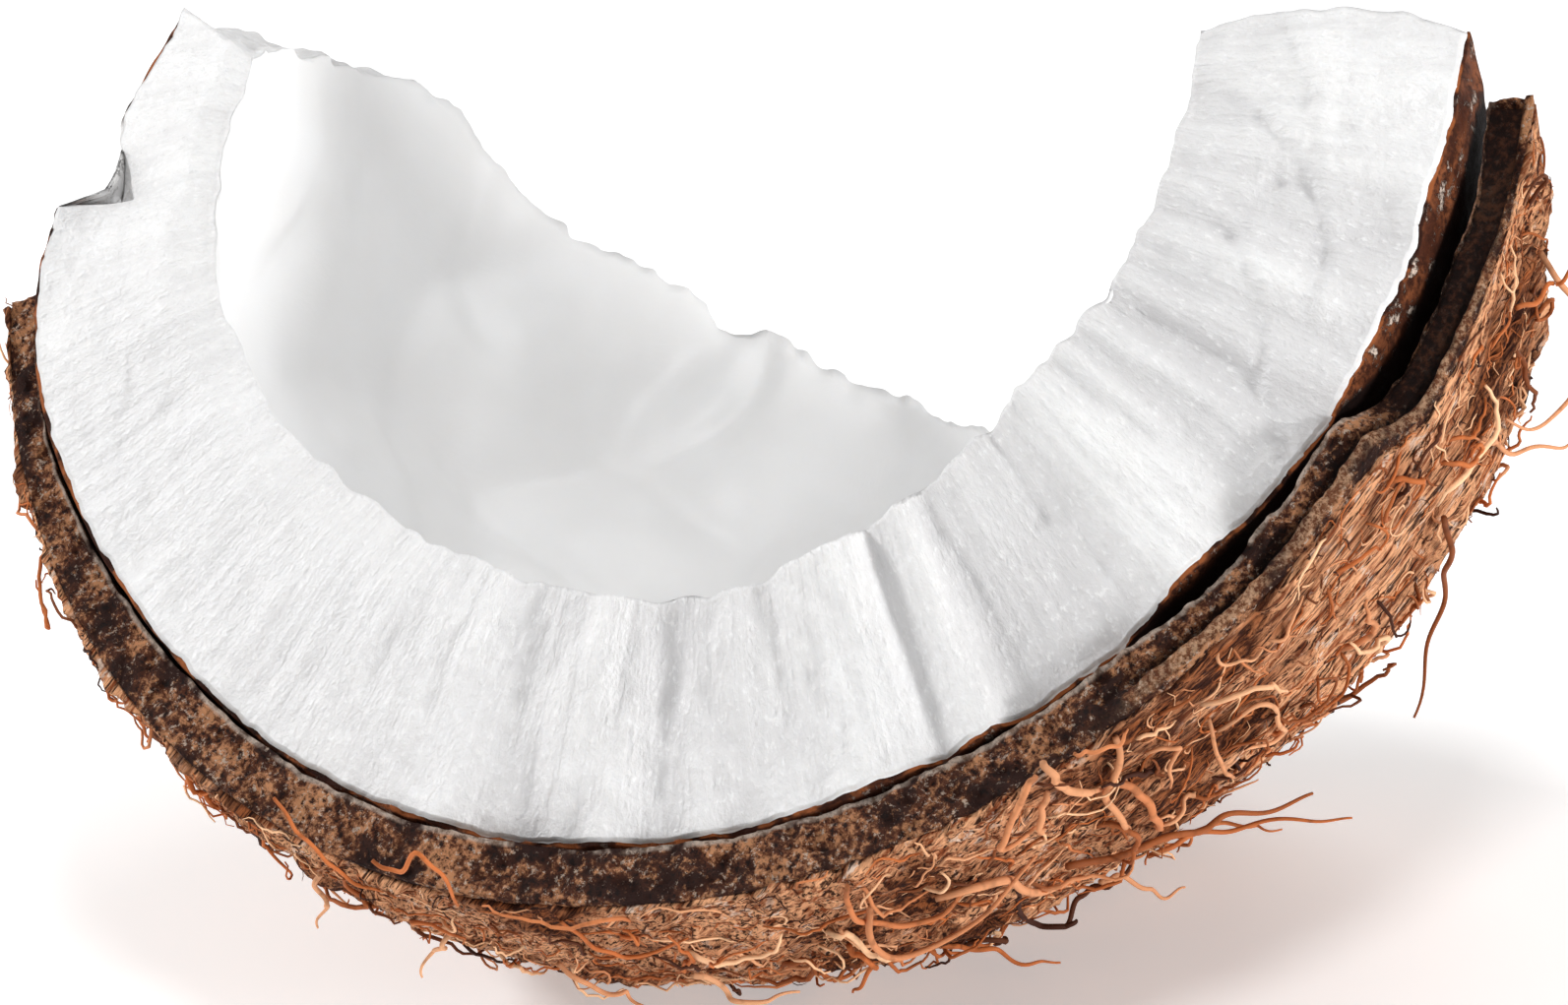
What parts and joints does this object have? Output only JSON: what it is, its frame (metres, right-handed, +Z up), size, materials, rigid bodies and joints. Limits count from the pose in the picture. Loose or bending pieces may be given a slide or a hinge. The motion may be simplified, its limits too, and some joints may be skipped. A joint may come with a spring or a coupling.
{
  "type": "coconut piece",
  "caption": "Broken piece of a ripe coconut: thick white meat round a smooth hollow, brown skin, dark hard shell and a coat of loose husk fibres, resting on its shell.",
  "frame": {"origin": "middle of the small worn flat on the shell's outside that the piece rests on", "axes": "+Z up as the piece lies at rest, the front break faces -Y and up, +X runs along the piece's length"},
  "size_m": [0.1046, 0.0739, 0.0615],
  "materials": {
    "coconut_meat": "moist white fruit flesh, satin, with fine fibres across the break",
    "brown_skin": "thin dry orange-brown skin",
    "hard_shell": "dark brown woody shell, grainy where broken",
    "husk_fibre": "dry tan to red-brown coir"
  },
  "bodies": {
    "root": {"coconut_meat": "coconut_meat", "brown_skin": "brown_skin", "hard_shell": "hard_shell", "husk_fibre_mat": "husk_fibre", "fibre_strand_1": "husk_fibre", "fibre_strand_2": "husk_fibre", "fibre_strand_3": "husk_fibre", "fibre_strand_4": "husk_fibre", "fibre_strand_5": "husk_fibre", "fibre_strand_6": "husk_fibre", "fibre_strand_7": "husk_fibre", "fibre_strand_8": "husk_fibre", "fibre_strand_9": "husk_fibre", "fibre_strand_10": "husk_fibre", "fibre_strand_11": "husk_fibre", "fibre_strand_12": "husk_fibre", "fibre_strand_13": "husk_fibre", "fibre_strand_14": "husk_fibre", "fibre_strand_15": "husk_fibre"}
  },
  "joints": []
}
